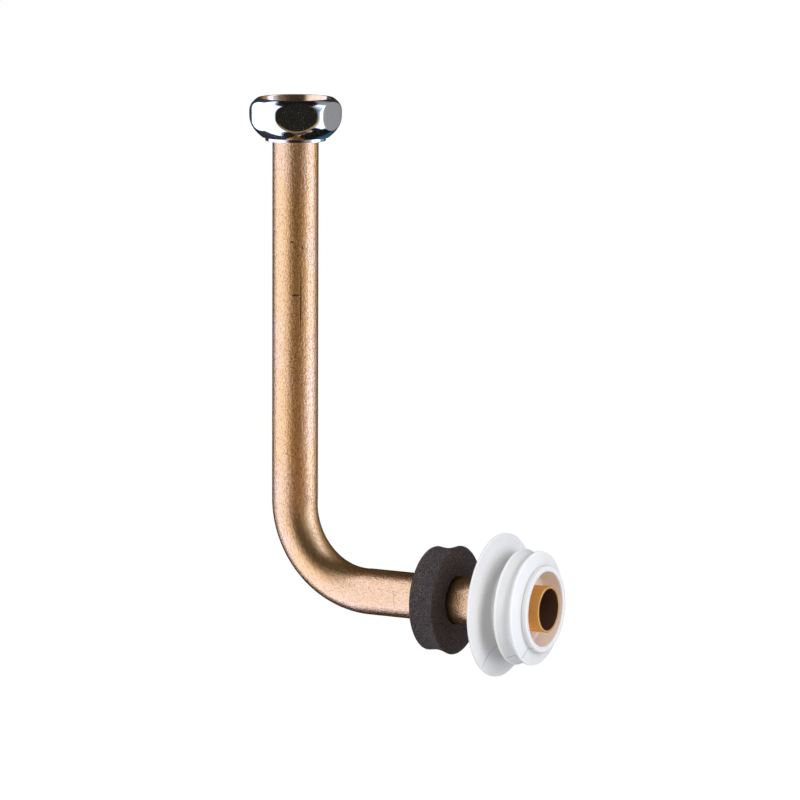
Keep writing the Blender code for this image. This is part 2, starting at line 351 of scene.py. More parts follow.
def nut_inside():
    """(radius, height, threaded) up the nut's inside from foot to mouth, and how many points are plated."""
    points = []
    for radius in np.linspace(SPIGOT_RADIUS, NUT_BORE + 3 * NUT_EDGE, 6)[1:]:
        points.append((radius, NUT_FOOT, False))
    for height in np.linspace(NUT_FOOT + 3 * NUT_EDGE, NUT_SHOULDER, 8):
        points.append((NUT_BORE, height, False))
    plated = len(points)
    for radius in np.linspace(NUT_BORE, THREAD_MAJOR, 8)[1:]:
        points.append((radius, NUT_SHOULDER, False))
    for height in np.arange(NUT_SHOULDER + 3 * NUT_EDGE, NUT_TOP - 2 * NUT_EDGE, THREAD_STEP):
        points.append((THREAD_MAJOR, height, True))
    points.append((MOUTH_RADIUS, NUT_TOP - NUT_EDGE / 2, False))
    return points, plated


def nut_angles(radius):
    """Angles round the nut, gathered where its flats meet the turned corners of that radius."""
    edge = max(math.acos(min(1.0, HALF_FLATS / radius)), math.radians(6))
    flat_shares = np.array([0, 0.2, 0.4, 0.58, 0.73, 0.85, 0.93, 0.975, 0.993])
    corner_shares = np.array([0.01, 0.08, 0.2, 0.35, 0.5, 0.65, 0.8, 0.92, 0.99])
    flat = np.concatenate([-flat_shares[::-1], flat_shares[1:]]) * edge
    corner = edge + (HEXAGON_SECTOR - 2 * edge) * corner_shares
    one = np.concatenate([flat, corner])
    return FIRST_FLAT + np.concatenate([one + HEXAGON_SECTOR * k for k in range(6)])


def thread_radius(angles, height):
    """An internal right-hand thread, its crests cut flat, between the shoulder and a plain counterbore."""
    turn = height / THREAD_PITCH - angles / (2 * math.pi)
    wave = 4 * np.abs(turn - np.floor(turn) - 0.5) - 1
    depth = (THREAD_MAJOR - THREAD_MINOR) / 2
    radius = THREAD_MAJOR - depth + depth * np.clip(1.3 * wave, -1, 1)
    fade = np.clip((height - (NUT_SHOULDER + THREAD_UNDERCUT)) / THREAD_FADE, 0, 1)
    fade = fade * np.clip((NUT_TOP - COUNTERBORE - height) / (0.4 * THREAD_FADE), 0, 1)
    radius = THREAD_MAJOR + (radius - THREAD_MAJOR) * fade
    lead_in = MOUTH_RADIUS - (NUT_TOP - height) * (MOUTH_RADIUS - THREAD_MAJOR) / COUNTERBORE
    return np.maximum(radius, lead_in)


def level_loop(reach, angles, height):
    """One level loop round +Z whose reach may differ from angle to angle."""
    return np.stack([reach * np.cos(angles), reach * np.sin(angles), np.full(len(angles), height)], -1)


def make_nut():
    """The union nut, six flats on a turned body and a real thread inside, and its first unplated face."""
    loops = []
    half_sector = HEXAGON_SECTOR / 2
    for radius, height in nut_outside():
        angles = nut_angles(radius)
        from_flat = (angles - FIRST_FLAT + half_sector) % HEXAGON_SECTOR - half_sector
        reach = soft_least(np.full(len(angles), radius), flat_reach(from_flat), FLAT_SOFTNESS)
        loops.append(level_loop(reach, angles, height))
    inside, plated = nut_inside()
    brass_row = len(loops) + plated - 1
    for radius, height, threaded in inside:
        angles = nut_angles(HALF_FLATS)
        reach = thread_radius(angles, height) if threaded else np.full(len(angles), radius)
        loops.append(level_loop(reach, angles, height))
    loops = np.array(loops)
    return skin("chrome_union_nut", loops, loops), brass_row * len(loops[0])


def make_gasket():
    """The flat rubber washer in the nut."""
    edge = 0.0002
    outline = rounded(
        [
            (GASKET_INNER, -GASKET_THICKNESS, edge),
            (COLLAR_RADIUS, -GASKET_THICKNESS, edge),
            (COLLAR_RADIUS, 0.0, edge),
            (GASKET_INNER, 0.0, edge),
        ]
    )
    loops = turned_loops(refined(outline, 0.0006), even_angles(128))
    return skin("rubber_gasket", loops, loops)


def foam_outline():
    """(radius, place along the leg) round the foam ring's section, its outside drawn in at the waist."""
    points = [(GRIP_RADIUS, FOAM_REAR, FOAM_EDGE / 2), (FOAM_REAR_RADIUS - FOAM_EDGE, FOAM_REAR, 0)]
    span = FOAM_FRONT - FOAM_REAR - 2 * FOAM_EDGE
    for share in np.linspace(0, 1, 15):
        radius = FOAM_REAR_RADIUS + (FOAM_FRONT_RADIUS - FOAM_REAR_RADIUS) * share
        radius -= FOAM_WAIST * math.sin(math.pi * share)
        points.append((radius, FOAM_REAR + FOAM_EDGE + span * share, 0))
    points.append((FOAM_FRONT_RADIUS - FOAM_EDGE, FOAM_FRONT, 0))
    points.append((GRIP_RADIUS, FOAM_FRONT, FOAM_EDGE / 2))
    return refined(rounded(points), 0.00034)


def make_foam_ring():
    """The cellular rubber ring, its skin broken by small open pores."""
    loops = turned_loops(foam_outline(), even_angles(360))
    points = loops.reshape(-1, 3)
    radial = points * (1, 1, 0)
    radius = np.linalg.norm(radial, axis=1)
    middle_radius = (GRIP_RADIUS + FOAM_REAR_RADIUS) / 2
    inward = radial / radius[:, None] * np.where(radius > middle_radius, -1, 1)[:, None]
    from_middle = points[:, 2] - (FOAM_REAR + FOAM_FRONT) / 2
    on_end = np.abs(from_middle) > (FOAM_FRONT - FOAM_REAR) / 2 - 0.00001
    inward[on_end] = 0
    inward[on_end, 2] = -np.sign(from_middle[on_end])
    depth = np.array([pore_depth(point) for point in points])
    depth[radius < GRIP_RADIUS + 0.0001] = 0
    moved = points + inward * depth[:, None]
    return skin("foam_seal_ring", laid_on_leg(moved.reshape(loops.shape)), loops)


def pore_depth(point):
    """How deep the foam's surface is at a point: a few open pores and a faint unevenness."""
    distances, centres = noise.voronoi(Vector(point) / PORE_SPACING)
    size = 0.25 + 0.2 * noise.noise(centres[0] * 3.7)
    pore = max(0.0, 1 - distances[0] / max(size, 0.05))
    swell = noise.noise(Vector(point) / (4 * PORE_SPACING))
    return PORE_DEPTH * min(1.0, pore * 1.6) + FOAM_SWELL * (1 + swell)


def fin_curve(root, rim, steps=14):
    """A dished fin's face, which leaves the hub along the leg and ends almost square to it."""
    rise, run = rim[0] - root[0], rim[1] - root[1]
    points = []
    for step in range(1, steps):
        angle = math.pi / 2 * step / steps
        points.append((root[0] + rise * (1 - math.cos(angle)), root[1] + run * math.sin(angle), 0))
    return points


def cuff_outline():
    """(radius, place along the leg) round the cuff's section, from its mouth over the fins and inside."""
    hollow, lip = CUFF_HOLLOW, CUFF_LIP
    front_rim = lip + FRONT_FIN_HEIGHT
    middle_rim = lip + MIDDLE_FIN_HEIGHT
    skirt_rim = lip + SKIRT_HEIGHT
    front = CUFF_MOUTH - FRONT_FIN_SETBACK
    middle = front - MIDDLE_FIN_PITCH
    skirt = middle - SKIRT_PITCH
    skirt_back = skirt - SKIRT_THICKNESS
    root = skirt + SKIRT_DISHING
    root_back = root - 3 * SKIRT_THICKNESS
    sleeve = GRIP_RADIUS + SLEEVE_WALL
    sleeve_end = skirt - SLEEVE_LENGTH
    hollow_end = CUFF_MOUTH - HOLLOW_DEPTH
    points = [
        (hollow, CUFF_MOUTH, 0.0006),
        (lip, CUFF_MOUTH, 0.0009),
        (lip, CUFF_MOUTH - 0.0018, 0.0002),
        (lip - 0.0004, CUFF_MOUTH - 0.0021, 0.0002),
        (lip + 0.0008, CUFF_MOUTH - 0.0026, 0.0005),
        (front_rim, front, 0.0003),
        (front_rim, front - 0.0009, 0.0004),
        (front_rim - 0.0016, front - 0.0026, 0.001),
        (middle_rim, middle, 0.0003),
        (middle_rim - 0.0009, middle - 0.0003, 0.0003),
        (lip + 0.0009, middle + 0.0026, 0.0009),
        (lip, middle + 0.0013, 0.0009),
        (lip, root, 0),
    ]
    points += fin_curve((lip, root), (skirt_rim, skirt))
    points += [(skirt_rim, skirt, 0.00035), (skirt_rim, skirt_back, 0.00035)]
    points += fin_curve((hollow, root_back), (skirt_rim, skirt_back))[::-1]
    points += [
        (sleeve, root_back, 0.0008),
        (sleeve, sleeve_end, 0.0008),
        (GRIP_RADIUS, sleeve_end, 0.0006),
        (GRIP_RADIUS, hollow_end, 0.0004),
        (hollow, hollow_end, 0.0008),
    ]
    return refined(rounded(points, 5), 0.0006)


def fin_painted_light(outline):
    """The painted light on the section's points: painted shade from 1 deep between the fins to 0 in the
    open, and -1 for a painted highlight on a rim.
    """
    reach, full_depth, rim_depth = 0.004, 0.009, 0.0003
    radius, along = outline[:, 0], outline[:, 1]
    near = np.abs(along[:, None] - along[None, :]) < reach
    highest = np.where(near, radius[None, :], 0).max(1)
    painted_light_depth = np.clip((highest - radius) / full_depth, 0, 1)
    on_rim = highest - radius < rim_depth
    inside = radius < CUFF_LIP - 0.0005
    return np.where(inside, 0, np.where(on_rim, -1, painted_light_depth))


def make_cuff():
    """The moulded rubber cuff, with the mould's fine parting line down two sides."""
    near_line = np.radians([-1.1, -0.6, -0.35, -0.18, 0, 0.18, 0.35, 0.6, 1.1])
    even = PARTING_ANGLE + even_angles(240)
    both = [PARTING_ANGLE + math.pi * k + near_line for k in range(2)]
    angles = np.unique(np.round(np.concatenate([even, *both]) % (2 * math.pi), 6))
    outline = cuff_outline()
    loops = turned_loops(outline, angles)
    radius = outline[:, 0][:, None]
    following = np.roll(outline, -1, 0) - np.roll(outline, 1, 0)
    normal = np.stack([following[:, 1], -following[:, 0]], -1)
    normal /= np.linalg.norm(normal, axis=1)[:, None]
    if normal[0, 1] < 0:
        normal = -normal
    turned = (angles - PARTING_ANGLE + math.pi / 2) % math.pi - math.pi / 2
    from_line = turned[None, :] * radius
    ridge = PARTING_RIDGE * np.exp(-((from_line / PARTING_WIDTH) ** 2))
    ridge *= radius > CUFF_HOLLOW + 0.001
    push = turned_loops(normal, angles)
    lower = np.broadcast_to((np.cos(angles - PARTING_ANGLE) > 0).astype(float), from_line.shape)
    # Depth between the fins for painted shade, and -1 on the rims for a painted highlight
    painted_light_depth = np.broadcast_to(fin_painted_light(outline)[:, None], from_line.shape)
    tracks = np.stack([from_line * 1000, lower, painted_light_depth], -1)
    return skin("finned_cuff", laid_on_leg(loops + push * ridge[..., None]), loops, tracks)


# Materials

# Colours of the copper, its mottling in three sizes and its marks
COPPER_PINK = (0.940, 0.545, 0.235)
COPPER_PALE = (0.940, 0.590, 0.340)
COPPER_WORM = (0.740, 0.400, 0.180)
COPPER_GRAIN = (0.560, 0.290, 0.120)
COPPER_SPECK = (0.400, 0.190, 0.070)
COPPER_STREAK = (0.960, 0.700, 0.470)
COPPER_VARNISHED = (0.950, 0.520, 0.130)
COPPER_SCRATCH = (0.110, 0.045, 0.018)
# Painted shade and reflection of the foam ring on the pipe just in front of it
COPPER_PAINTED_FOAM_SHADE = (0.055, 0.028, 0.020)
COPPER_BORE = (0.230, 0.110, 0.070)
COPPER_TINT = (0.90, 0.66, 0.38, 1.0)

# Distances along the pipe in millimetres where its mottling fades, the painted shade and reflection of the
# foam ring comes and goes, varnish sets in
CALMER_GRAIN = (130, 190)
PAINTED_FOAM_SHADE_START = (236.6, 238.4)
PAINTED_FOAM_SHADE_END = (242.6, 238.9)
VARNISH_START = (267.0, 270.5)

# Scratches: turn round the pipe in degrees, distance along it in millimetres, half sizes of each, and depth
PIPE_MARKS = (
    (-68.8, 44.7, 4.5, 0.70, 0.9),
    (-43.7, 47.1, 3.6, 0.80, 0.9),
    (-47.0, 67.9, 2.4, 17.0, 1.0),
    (-59.5, 65.5, 15.0, 0.50, 0.9),
    (-94.0, 215.9, 30.0, 0.40, 0.3),
    (128.0, 96.0, 2.2, 12.0, 0.35),
    (70.0, 130.0, 8.0, 0.40, 0.4),
    (160.0, 58.0, 3.0, 0.50, 0.6),
)

# Colours of the nut, the foam ring, the cuff and the gasket
CHROME_BRIGHT = (0.93, 0.94, 0.95)
CHROME_DULL = (0.76, 0.76, 0.77)
BRASS_CLEAN = (0.93, 0.66, 0.41)
BRASS_TARNISHED = (0.80, 0.50, 0.28)
FOAM_DARK = (0.018, 0.013, 0.012)
FOAM_LIGHT = (0.140, 0.113, 0.106)
FOAM_CLOUD = (0.062, 0.049, 0.050)
FOAM_PORE = (0.012, 0.010, 0.010)
# Painted shade cast by the cuff on the foam ring's front face
FOAM_PAINTED_FACE_SHADE = (0.97, 0.82, 0.76)
CUFF_WHITE = (0.870, 0.872, 0.876)
CUFF_COOL = (0.842, 0.845, 0.854)
CUFF_SMUDGE = (0.740, 0.725, 0.710)
CUFF_GRAIN = (0.780, 0.765, 0.750)
CUFF_LINE = (0.400, 0.395, 0.400)
# Painted shade deep between the fins
CUFF_PAINTED_SHADE = (0.520, 0.500, 0.470)
# Painted highlight along the fin rims
CUFF_RIM_PAINTED_HIGHLIGHT = (0.970, 0.970, 0.970)
# Painted warm glow of light bounced from the copper inside the cuff's mouth
CUFF_MOUTH_PAINTED_GLOW = (0.900, 0.750, 0.650)
GASKET_BLACK = (0.022, 0.022, 0.023)
GASKET_DUST = (0.085, 0.080, 0.075)


def new_material(name):
    """A material with its node tree and its surface shader."""
    material = bpy.data.materials.new(name)
    material.use_nodes = True
    tree = material.node_tree
    return material, tree, tree.nodes["Principled BSDF"]


def add_node(tree, kind, values=(), **settings):
    """A node with its settings and its inputs, each a socket to link or a constant."""
    made = tree.nodes.new(kind)
    for name, value in settings.items():
        setattr(made, name, value)
    for key, value in dict(values).items():
        if isinstance(value, bpy.types.NodeSocket):
            tree.links.new(value, made.inputs[key])
        else:
            made.inputs[key].default_value = value
    return made


def place_of(tree, name="place"):
    """The vector stored on the mesh's points under that name."""
    return add_node(tree, "ShaderNodeAttribute", attribute_name=name).outputs["Vector"]


def stretched(tree, vector, scale):
    return add_node(tree, "ShaderNodeVectorMath", {0: vector, 1: scale}, operation="MULTIPLY").outputs[0]


def noise_of(tree, vector, scale, detail=3.0, roughness=0.5, distortion=0.0):
    """A cloudy pattern from 0 to 1, with scale cells to the metre."""
    values = {"Vector": vector, "Scale": scale, "Detail": detail}
    values.update({"Roughness": roughness, "Distortion": distortion})
    return add_node(tree, "ShaderNodeTexNoise", values).outputs["Fac"]


def remap(tree, value, low, high, to_low=0.0, to_high=1.0):
    """Carries low..high smoothly over to to_low..to_high, and holds the ends beyond."""
    values = {"Value": value, "From Min": low, "From Max": high, "To Min": to_low, "To Max": to_high}
    return add_node(tree, "ShaderNodeMapRange", values, interpolation_type="SMOOTHSTEP").outputs["Result"]


def arithmetic(tree, operation, a, b=0.0):
    return add_node(tree, "ShaderNodeMath", {0: a, 1: b}, operation=operation).outputs[0]


def product(tree, a, b):
    return arithmetic(tree, "MULTIPLY", a, b)


def total(tree, a, b):
    return arithmetic(tree, "ADD", a, b)


def length_of(tree, vector):
    return add_node(tree, "ShaderNodeVectorMath", {0: vector}, operation="LENGTH").outputs["Value"]


def blended(tree, share, a, b, kind="MIX"):
    """Two colours mixed, or one laid over the other in another way, by a share from 0 to 1."""
    made = add_node(tree, "ShaderNodeMix", {0: share}, data_type="RGBA", blend_type=kind)
    for slot, value in ((6, a), (7, b)):
        if isinstance(value, bpy.types.NodeSocket):
            tree.links.new(value, made.inputs[slot])
        else:
            made.inputs[slot].default_value = (*value, 1.0)
    return made.outputs[2]


def bump(tree, shader, height, strength, distance):
    """Raises the surface's light and shade by height, which stands for distance metres at 1."""
    made = add_node(tree, "ShaderNodeBump", {"Height": height, "Strength": strength, "Distance": distance})
    tree.links.new(made.outputs["Normal"], shader.inputs["Normal"])


def mark(tree, track, turn, along, half_turn, half_length):
    """A soft-edged scratch on the pipe, at a turn in degrees and a distance along it in millimetres."""
    middle = (turn, along, 0)
    away = add_node(tree, "ShaderNodeVectorMath", {0: track, 1: middle}, operation="SUBTRACT").outputs[0]
    scaled = stretched(tree, away, (1 / half_turn, 1 / half_length, 0))
    return remap(tree, length_of(tree, scaled), 1.0, 0.3)


def parts_of(tree, vector):
    return add_node(tree, "ShaderNodeSeparateXYZ", {0: vector}).outputs


def copper_material():
    """Bare drawn copper: fine mottling, pinkish patches, scratches, a dark bore, a varnished end, and a
    painted band of shade and foam reflection just in front of the foam ring.
    """
    material, tree, shader = new_material("bare_copper")
    place, track = place_of(tree), place_of(tree, "track")
    grain = noise_of(tree, stretched(tree, place, (1, 1, 0.75)), 2000, 3, 0.6)
    worms = noise_of(tree, stretched(tree, place, (1, 1, 0.55)), 1200, 4, 0.65, 0.8)
    streaks = noise_of(tree, stretched(tree, place, (1, 1, 0.04)), 1500, 4, 0.6)
    patches = noise_of(tree, stretched(tree, place, (1, 1, 0.4)), 60, 4, 0.6)
    specks = noise_of(tree, stretched(tree, place, (1, 1, 0.5)), 1250, 2, 0.5)
    along, radius = parts_of(tree, track)[1], parts_of(tree, track)[2]
    coarseness = remap(tree, along, *CALMER_GRAIN, 1.0, 0.7)

    colour = blended(tree, remap(tree, patches, 0.42, 0.62), COPPER_PINK, COPPER_PALE)
    colour = blended(tree, remap(tree, worms, 0.48, 0.66, 0.0, 0.5), colour, COPPER_WORM)
    grain_share = product(tree, remap(tree, grain, 0.48, 0.66, 0.0, 0.7), coarseness)
    colour = blended(tree, grain_share, colour, COPPER_GRAIN)
    speck_share = product(tree, remap(tree, specks, 0.58, 0.70, 0.0, 0.5), coarseness)
    colour = blended(tree, speck_share, colour, COPPER_SPECK)
    colour = blended(tree, remap(tree, streaks, 0.55, 0.75, 0.0, 0.25), colour, COPPER_STREAK)
    varnish = product(tree, remap(tree, along, *VARNISH_START), 0.8)
    colour = blended(tree, varnish, colour, COPPER_VARNISHED)
    marks = 0.0
    for turn, mark_along, half_turn, half_length, depth in PIPE_MARKS:
        spot = product(tree, mark(tree, track, turn, mark_along, half_turn, half_length), depth)
        marks = arithmetic(tree, "MAXIMUM", marks, spot)
    colour = blended(tree, marks, colour, COPPER_SCRATCH)
    # Painted shade and reflection of the foam ring: a dark band on the pipe just in front of the ring's
    # front face
    tarnish_and_painted_shade = product(tree, remap(tree, along, *PAINTED_FOAM_SHADE_START), remap(tree, along, *PAINTED_FOAM_SHADE_END))
    tarnish_and_painted_shade = product(tree, tarnish_and_painted_shade, remap(tree, grain, 0.2, 0.8, 1.0, 0.75))
    colour = blended(tree, tarnish_and_painted_shade, colour, COPPER_PAINTED_FOAM_SHADE)
    bore = remap(tree, radius, BORE_RADIUS + 0.0002, BORE_RADIUS + 0.0001)
    colour = blended(tree, bore, colour, COPPER_BORE)
    tree.links.new(colour, shader.inputs["Base Color"])

    coated = arithmetic(tree, "MAXIMUM", bore, varnish)
    tree.links.new(remap(tree, coated, 0.0, 1.0, 0.92, 0.65), shader.inputs["Metallic"])
    shader.inputs["Specular Tint"].default_value = COPPER_TINT
    rough = remap(tree, patches, 0.3, 0.7, 0.14, 0.21)
    rough = total(tree, rough, remap(tree, worms, 0.3, 0.8, 0.0, 0.06))
    rough = total(tree, rough, product(tree, tarnish_and_painted_shade, 0.2))
    tree.links.new(rough, shader.inputs["Roughness"])
    height = total(tree, product(tree, streaks, 0.3), product(tree, worms, 0.9))
    height = total(tree, height, product(tree, grain, 0.5))
    height = arithmetic(tree, "SUBTRACT", height, product(tree, marks, 0.25))
    bump(tree, shader, product(tree, height, coarseness), 1.0, 0.00018)
    return material


def chrome_material():
    """Polished chrome plate, faintly wavy, with the odd dull fleck."""
    material, tree, shader = new_material("chrome_plate")
    place = place_of(tree)
    flecks = noise_of(tree, place, 2600, 3, 0.6)
    waves = noise_of(tree, place, 260, 2, 0.5)
    colour = blended(tree, remap(tree, flecks, 0.55, 0.75, 0.0, 0.3), CHROME_BRIGHT, CHROME_DULL)
    tree.links.new(colour, shader.inputs["Base Color"])
    shader.inputs["Metallic"].default_value = 1.0
    tree.links.new(remap(tree, flecks, 0.50, 0.72, 0.035, 0.30), shader.inputs["Roughness"])
    height = total(tree, waves, product(tree, flecks, 0.05))
    bump(tree, shader, height, 0.12, 0.00003)
    return material


def brass_material():
    """Unplated turned brass inside the nut."""
    material, tree, shader = new_material("raw_brass")
    place = place_of(tree)
    turning = noise_of(tree, stretched(tree, place, (0.05, 0.05, 1)), 9000, 2, 0.5)
    tarnish_and_painted_shade = noise_of(tree, place, 350, 4, 0.6)
    colour = blended(tree, remap(tree, tarnish_and_painted_shade, 0.4, 0.7), BRASS_CLEAN, BRASS_TARNISHED)
    tree.links.new(colour, shader.inputs["Base Color"])
    shader.inputs["Metallic"].default_value = 0.95
    tree.links.new(remap(tree, tarnish_and_painted_shade, 0.3, 0.8, 0.11, 0.22), shader.inputs["Roughness"])
    bump(tree, shader, turning, 0.12, 0.00002)
    return material


def foam_material():
    """Charcoal cellular rubber, speckled by its pores, its front face darkened by painted shade from the
    cuff.
    """
    material, tree, shader = new_material("cellular_rubber")
    place = place_of(tree)
    speckle = noise_of(tree, place, 2300, 4, 0.75)
    clouds = noise_of(tree, place, 180, 3, 0.5)
    pores = add_node(tree, "ShaderNodeTexVoronoi", {"Vector": place, "Scale": 1000.0}).outputs["Distance"]
    colour = blended(tree, remap(tree, speckle, 0.43, 0.58), FOAM_DARK, FOAM_LIGHT)
    colour = blended(tree, remap(tree, clouds, 0.35, 0.7, 0.0, 0.4), colour, FOAM_CLOUD)
    colour = blended(tree, remap(tree, pores, 0.3, 0.1, 0.0, 0.7), colour, FOAM_PORE)
    along = parts_of(tree, place)[2]
    # Painted shade cast by the cuff on the ring's front face
    painted_face_shade = product(tree, remap(tree, along, FOAM_FRONT - FOAM_EDGE, FOAM_FRONT - FOAM_EDGE / 2), 0.8)
    colour = blended(tree, painted_face_shade, colour, FOAM_PAINTED_FACE_SHADE, "MULTIPLY")
    tree.links.new(colour, shader.inputs["Base Color"])
    tree.links.new(remap(tree, speckle, 0.3, 0.7, 0.95, 0.75), shader.inputs["Roughness"])
    shader.inputs["Specular IOR Level"].default_value = 0.3
    height = total(tree, speckle, product(tree, pores, 0.7))
    bump(tree, shader, height, 0.6, 0.0002)
    return material


def cuff_material():
    """White moulded rubber with a satin skin and a trace of handling, painted shade deep between the fins,
    painted highlights on the rims and a painted warm glow of copper light in the mouth.
    """
    material, tree, shader = new_material("white_rubber")
    place = place_of(tree)
    skin_grain = noise_of(tree, place, 2000, 4, 0.7)
    flow = noise_of(tree, place, 90, 3, 0.55)
    smudge = noise_of(tree, place, 320, 5, 0.7)
    colour = blended(tree, remap(tree, flow, 0.35, 0.7), CUFF_WHITE, CUFF_COOL)
    colour = blended(tree, remap(tree, smudge, 0.62, 0.8, 0.0, 0.3), colour, CUFF_SMUDGE)
    colour = blended(tree, remap(tree, skin_grain, 0.5, 0.7, 0.0, 0.25), colour, CUFF_GRAIN)
    from_line, lower, painted_light_depth = parts_of(tree, place_of(tree, "track"))
    radius = length_of(tree, stretched(tree, place, (1, 1, 0)))
    line = remap(tree, arithmetic(tree, "ABSOLUTE", from_line), 0.24, 0.10)
    line = product(tree, line, remap(tree, radius, CUFF_LIP - 0.0005, CUFF_LIP))
    colour = blended(tree, product(tree, line, lower), colour, CUFF_LINE)
    # Painted shade deep between the fins
    colour = blended(tree, remap(tree, painted_light_depth, 0.4, 1.0, 0.0, 0.6), colour, CUFF_PAINTED_SHADE)
    # Painted highlight along the fin rims
    colour = blended(tree, remap(tree, painted_light_depth, -0.3, -0.9), colour, CUFF_RIM_PAINTED_HIGHLIGHT)
    along = parts_of(tree, place)[2]
    hollow_end = CUFF_MOUTH - HOLLOW_DEPTH
    # Painted warm glow of light bounced from the copper inside the mouth
    in_mouth = remap(tree, radius, CUFF_HOLLOW + 0.0002, CUFF_HOLLOW - 0.0002)
    in_mouth = product(tree, in_mouth, remap(tree, along, hollow_end - 0.0006, hollow_end - 0.0002))
    colour = blended(tree, product(tree, in_mouth, 0.85), colour, CUFF_MOUTH_PAINTED_GLOW)
    tree.links.new(colour, shader.inputs["Base Color"])
    tree.links.new(remap(tree, skin_grain, 0.3, 0.75, 0.34, 0.50), shader.inputs["Roughness"])
    shader.inputs["Subsurface Weight"].default_value = 0.12
    shader.inputs["Subsurface Radius"].default_value = (1.0, 0.95, 0.9)
    shader.inputs["Subsurface Scale"].default_value = 0.0015
    height = total(tree, skin_grain, product(tree, smudge, 0.6))
    bump(tree, shader, height, 0.12, 0.00005)
    return material


def gasket_material():
    """Flat black sheet rubber, faintly dusty."""
    material, tree, shader = new_material("black_rubber")
    place = place_of(tree)
    dust = noise_of(tree, place, 900, 5, 0.7)
    grain = noise_of(tree, place, 5000, 2, 0.5)
    colour = blended(tree, remap(tree, dust, 0.5, 0.8, 0.0, 0.5), GASKET_BLACK, GASKET_DUST)
    tree.links.new(colour, shader.inputs["Base Color"])
    tree.links.new(remap(tree, dust, 0.3, 0.8, 0.55, 0.85), shader.inputs["Roughness"])
    bump(tree, shader, grain, 0.3, 0.00005)
    return material


# Studio


def studio_direction(turn, elevation):
    """A direction in the studio: turn in degrees to the right of the camera as it faces the object."""
    around = math.radians(CAMERA_AZIMUTH - 90 + turn)
    up = math.radians(elevation)
    return Vector((math.cos(around) * math.cos(up), math.sin(around) * math.cos(up), math.sin(up)))


def make_camera():
    """The camera, placed and leaned as the photograph's."""
    azimuth, roll = math.radians(CAMERA_AZIMUTH), math.radians(CAMERA_ROLL)
    back = studio_direction(0, CAMERA_ELEVATION)
    level = Vector((math.cos(azimuth), math.sin(azimuth), 0))
    upright = back.cross(level)
    right = math.cos(roll) * level + math.sin(roll) * upright
    up = -math.sin(roll) * level + math.cos(roll) * upright
    data = bpy.data.cameras.new("camera")
    data.lens = CAMERA_LENS
    data.sensor_width = CAMERA_SENSOR
    camera = bpy.data.objects.new("camera", data)
    placing = Matrix((right, up, back)).transposed().to_4x4()
    placing.translation = CAMERA_TARGET + back * CAMERA_DISTANCE
    camera.matrix_world = placing
    bpy.context.scene.collection.objects.link(camera)
    bpy.context.scene.camera = camera


def make_softbox(name, turn, elevation, distance, width, height, radiance):
    """A rectangular soft light that faces the object; the surround stands for it in reflections."""
    data = bpy.data.lights.new(name, "AREA")
    data.shape = "RECTANGLE"
    data.size = width
    data.size_y = height
    data.energy = radiance * math.pi * width * height
    light = bpy.data.objects.new(name, data)
    direction = studio_direction(turn, elevation)
    light.location = STUDIO_CENTRE + direction * distance
    light.rotation_mode = "QUATERNION"
    light.rotation_quaternion = (-direction).to_track_quat("-Z", "Y")
    light.visible_glossy = False
    bpy.context.scene.collection.objects.link(light)


def window(value, low, high, soft):
    """1 between low and high, falling smoothly to 0 over soft outside them."""
    rise = np.clip((value - low + soft) / soft, 0, 1)
    fall = np.clip((high - value + soft) / soft, 0, 1)
    share = np.minimum(rise, fall)
    return share * share * (3 - 2 * share)


# Colour of the studio at eye level, after its turn from the camera in degrees
EYE_LEVEL_GLOW = (
    (-180, 0.02, 0.02, 0.02),
    (-123, 0.03, 0.03, 0.03),
    (-118, 1.40, 1.70, 2.90),
    (-108, 1.45, 1.75, 3.00),
    (-96, 1.28, 1.52, 2.50),
    (-80, 1.17, 1.38, 2.00),
    (-60, 1.15, 1.35, 1.90),
    (-46, 1.06, 1.18, 1.60),
    (-37, 0.80, 0.80, 0.88),
    (-29, 0.25, 0.22, 0.18),
    (-23, 0.00, 0.00, 0.00),
    (20, 0.00, 0.00, 0.00),
    (30, 0.10, 0.07, 0.04),
    (44, 0.33, 0.25, 0.14),
    (54, 0.52, 0.42, 0.27),
    (64, 0.84, 0.78, 0.66),
    (73, 1.65, 1.95, 2.80),
    (90, 1.80, 2.45, 4.60),
    (98, 1.45, 1.80, 3.00),
    (107, 1.10, 1.20, 1.50),
    (112, 0.60, 0.58, 0.60),
    (115, 0.28, 0.28, 0.29),
    (140, 0.25, 0.26, 0.27),
    (150, 0.02, 0.02, 0.02),
    (180, 0.02, 0.02, 0.02),
)

# Colours added to the glow: ahead, under the object, in the dark core ahead, low behind and everywhere
AHEAD_GLOW = np.array((0.270, 0.175, 0.080))
BENEATH_GLOW = np.array((0.075, 0.066, 0.060))
CORE_GLOW = np.array((0.005, 0.006, 0.005))
LOW_BLUE_GLOW = np.array((0.010, 0.085, 0.160))
LEAST_GLOW = np.array((0.009, 0.008, 0.007))

# How much each colour changes in the cool zone to the camera's right
COOLING = np.array((-0.30, -0.05, 0.70))


